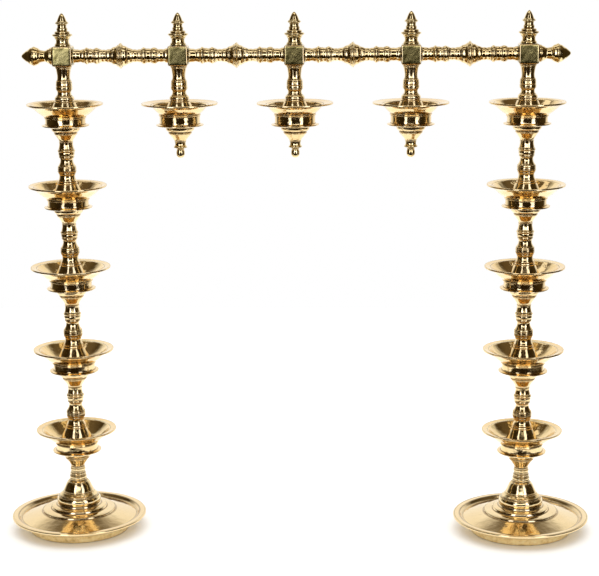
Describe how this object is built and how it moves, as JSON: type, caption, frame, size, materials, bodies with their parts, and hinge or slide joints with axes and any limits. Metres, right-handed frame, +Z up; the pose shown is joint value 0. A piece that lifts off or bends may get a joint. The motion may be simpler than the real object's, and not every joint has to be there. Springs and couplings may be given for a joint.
{
  "type": "gate of oil lamps",
  "caption": "Free-standing brass gate of oil lamps: pillars of stacked bowls on dish bases, a turned crossbar between cubes, hanging lamps below it and pointed finials.",
  "frame": {"origin": "on the standing plane, midway between the two pillars", "axes": "+Z up, X along the crossbar with +X to the viewer's right, front of the gate towards -Y"},
  "size_m": [0.8572, 0.1988, 0.7631],
  "materials": {
    "bowl_brass": "polished turned casting",
    "stem_brass": "polished turned casting",
    "cube_brass": "filed and brushed faces, polished bevels",
    "dish_brass": "polished above, as-cast sand texture on the foot ring",
    "stud_brass": "plain turned"
  },
  "bodies": {
    "gate": {"left_base_dish": "dish_brass", "left_bell_pedestal": "stem_brass", "left_lamp_bowl_tier_5": "bowl_brass", "left_stem_above_tier_5": "stem_brass", "left_lamp_bowl_tier_4": "bowl_brass", "left_stem_above_tier_4": "stem_brass", "left_lamp_bowl_tier_3": "bowl_brass", "left_stem_above_tier_3": "stem_brass", "left_lamp_bowl_tier_2": "bowl_brass", "left_stem_above_tier_2": "stem_brass", "left_lamp_bowl_tier_1": "bowl_brass", "left_stem_above_tier_1": "stem_brass", "right_base_dish": "dish_brass", "right_bell_pedestal": "stem_brass", "right_lamp_bowl_tier_5": "bowl_brass", "right_stem_above_tier_5": "stem_brass", "right_lamp_bowl_tier_4": "bowl_brass", "right_stem_above_tier_4": "stem_brass", "right_lamp_bowl_tier_3": "bowl_brass", "right_stem_above_tier_3": "stem_brass", "right_lamp_bowl_tier_2": "bowl_brass", "right_stem_above_tier_2": "stem_brass", "right_lamp_bowl_tier_1": "bowl_brass", "right_stem_above_tier_1": "stem_brass", "left_end_cube": "cube_brass", "left_inner_cube": "cube_brass", "centre_cube": "cube_brass", "right_inner_cube": "cube_brass", "right_end_cube": "cube_brass", "outer_left_bar_segment": "stem_brass", "inner_left_bar_segment": "stem_brass", "inner_right_bar_segment": "stem_brass", "outer_right_bar_segment": "stem_brass"},
    "left_end_top_finial_stud": {"left_end_top_finial_stud": "stud_brass"},
    "left_end_top_finial": {"left_end_top_finial": "stem_brass"},
    "left_inner_top_finial_stud": {"left_inner_top_finial_stud": "stud_brass"},
    "left_inner_top_finial": {"left_inner_top_finial": "stem_brass"},
    "centre_top_finial_stud": {"centre_top_finial_stud": "stud_brass"},
    "centre_top_finial": {"centre_top_finial": "stem_brass"},
    "right_inner_top_finial_stud": {"right_inner_top_finial_stud": "stud_brass"},
    "right_inner_top_finial": {"right_inner_top_finial": "stem_brass"},
    "right_end_top_finial_stud": {"right_end_top_finial_stud": "stud_brass"},
    "right_end_top_finial": {"right_end_top_finial": "stem_brass"},
    "left_bar_end_finial_stud": {"left_bar_end_stud": "stud_brass"},
    "left_bar_end_finial": {"left_bar_end_finial": "stem_brass"},
    "right_bar_end_finial_stud": {"right_bar_end_stud": "stud_brass"},
    "right_bar_end_finial": {"right_bar_end_finial": "stem_brass"},
    "left_pendant_lamp_stud": {"left_pendant_stud": "stud_brass"},
    "left_pendant_lamp": {"left_pendant_stem": "stem_brass", "left_pendant_bowl": "bowl_brass", "left_pendant_drop_finial": "stem_brass"},
    "centre_pendant_lamp_stud": {"centre_pendant_stud": "stud_brass"},
    "centre_pendant_lamp": {"centre_pendant_stem": "stem_brass", "centre_pendant_bowl": "bowl_brass", "centre_pendant_drop_finial": "stem_brass"},
    "right_pendant_lamp_stud": {"right_pendant_stud": "stud_brass"},
    "right_pendant_lamp": {"right_pendant_stem": "stem_brass", "right_pendant_bowl": "bowl_brass", "right_pendant_drop_finial": "stem_brass"}
  },
  "joints": [
    {"name": "left_end_top_finial_thread_travel", "type": "slide", "parent": "gate", "child": "left_end_top_finial_stud", "axis": [0, 0, 1], "range_m": [0, 0.009]},
    {"name": "left_end_top_finial_unscrew", "type": "hinge", "parent": "left_end_top_finial_stud", "child": "left_end_top_finial", "pos_m": [-0.32916, 0, 0.71682], "axis": [0, 0, 1], "range_deg": [0, 2160]},
    {"name": "left_inner_top_finial_thread_travel", "type": "slide", "parent": "gate", "child": "left_inner_top_finial_stud", "axis": [0, 0, 1], "range_m": [0, 0.009]},
    {"name": "left_inner_top_finial_unscrew", "type": "hinge", "parent": "left_inner_top_finial_stud", "child": "left_inner_top_finial", "pos_m": [-0.16458, 0, 0.71682], "axis": [0, 0, 1], "range_deg": [0, 2160]},
    {"name": "centre_top_finial_thread_travel", "type": "slide", "parent": "gate", "child": "centre_top_finial_stud", "axis": [0, 0, 1], "range_m": [0, 0.009]},
    {"name": "centre_top_finial_unscrew", "type": "hinge", "parent": "centre_top_finial_stud", "child": "centre_top_finial", "pos_m": [0, 0, 0.71682], "axis": [0, 0, 1], "range_deg": [0, 2160]},
    {"name": "right_inner_top_finial_thread_travel", "type": "slide", "parent": "gate", "child": "right_inner_top_finial_stud", "axis": [0, 0, 1], "range_m": [0, 0.009]},
    {"name": "right_inner_top_finial_unscrew", "type": "hinge", "parent": "right_inner_top_finial_stud", "child": "right_inner_top_finial", "pos_m": [0.16458, 0, 0.71682], "axis": [0, 0, 1], "range_deg": [0, 2160]},
    {"name": "right_end_top_finial_thread_travel", "type": "slide", "parent": "gate", "child": "right_end_top_finial_stud", "axis": [0, 0, 1], "range_m": [0, 0.009]},
    {"name": "right_end_top_finial_unscrew", "type": "hinge", "parent": "right_end_top_finial_stud", "child": "right_end_top_finial", "pos_m": [0.32916, 0, 0.71682], "axis": [0, 0, 1], "range_deg": [0, 2160]},
    {"name": "left_bar_end_finial_thread_travel", "type": "slide", "parent": "gate", "child": "left_bar_end_finial_stud", "axis": [-1, 0, 0], "range_m": [0, 0.009]},
    {"name": "left_bar_end_finial_unscrew", "type": "hinge", "parent": "left_bar_end_finial_stud", "child": "left_bar_end_finial", "pos_m": [-0.34336, 0, 0.70262], "axis": [-1, 0, 0], "range_deg": [0, 2160]},
    {"name": "right_bar_end_finial_thread_travel", "type": "slide", "parent": "gate", "child": "right_bar_end_finial_stud", "axis": [1, 0, 0], "range_m": [0, 0.009]},
    {"name": "right_bar_end_finial_unscrew", "type": "hinge", "parent": "right_bar_end_finial_stud", "child": "right_bar_end_finial", "pos_m": [0.34336, 0, 0.70262], "axis": [1, 0, 0], "range_deg": [0, 2160]},
    {"name": "left_pendant_lamp_thread_travel", "type": "slide", "parent": "gate", "child": "left_pendant_lamp_stud", "axis": [0, 0, -1], "range_m": [0, 0.009]},
    {"name": "left_pendant_lamp_unscrew", "type": "hinge", "parent": "left_pendant_lamp_stud", "child": "left_pendant_lamp", "pos_m": [-0.16458, 0, 0.68842], "axis": [0, 0, -1], "range_deg": [0, 2160]},
    {"name": "centre_pendant_lamp_thread_travel", "type": "slide", "parent": "gate", "child": "centre_pendant_lamp_stud", "axis": [0, 0, -1], "range_m": [0, 0.009]},
    {"name": "centre_pendant_lamp_unscrew", "type": "hinge", "parent": "centre_pendant_lamp_stud", "child": "centre_pendant_lamp", "pos_m": [0, 0, 0.68842], "axis": [0, 0, -1], "range_deg": [0, 2160]},
    {"name": "right_pendant_lamp_thread_travel", "type": "slide", "parent": "gate", "child": "right_pendant_lamp_stud", "axis": [0, 0, -1], "range_m": [0, 0.009]},
    {"name": "right_pendant_lamp_unscrew", "type": "hinge", "parent": "right_pendant_lamp_stud", "child": "right_pendant_lamp", "pos_m": [0.16458, 0, 0.68842], "axis": [0, 0, -1], "range_deg": [0, 2160]}
  ],
  "couplings": [
    {"joint": "left_end_top_finial_thread_travel", "follows": "left_end_top_finial_unscrew", "m_per_rad": 0.00023873},
    {"joint": "left_inner_top_finial_thread_travel", "follows": "left_inner_top_finial_unscrew", "m_per_rad": 0.00023873},
    {"joint": "centre_top_finial_thread_travel", "follows": "centre_top_finial_unscrew", "m_per_rad": 0.00023873},
    {"joint": "right_inner_top_finial_thread_travel", "follows": "right_inner_top_finial_unscrew", "m_per_rad": 0.00023873},
    {"joint": "right_end_top_finial_thread_travel", "follows": "right_end_top_finial_unscrew", "m_per_rad": 0.00023873},
    {"joint": "left_bar_end_finial_thread_travel", "follows": "left_bar_end_finial_unscrew", "m_per_rad": 0.00023873},
    {"joint": "right_bar_end_finial_thread_travel", "follows": "right_bar_end_finial_unscrew", "m_per_rad": 0.00023873},
    {"joint": "left_pendant_lamp_thread_travel", "follows": "left_pendant_lamp_unscrew", "m_per_rad": 0.00023873},
    {"joint": "centre_pendant_lamp_thread_travel", "follows": "centre_pendant_lamp_unscrew", "m_per_rad": 0.00023873},
    {"joint": "right_pendant_lamp_thread_travel", "follows": "right_pendant_lamp_unscrew", "m_per_rad": 0.00023873}
  ]
}
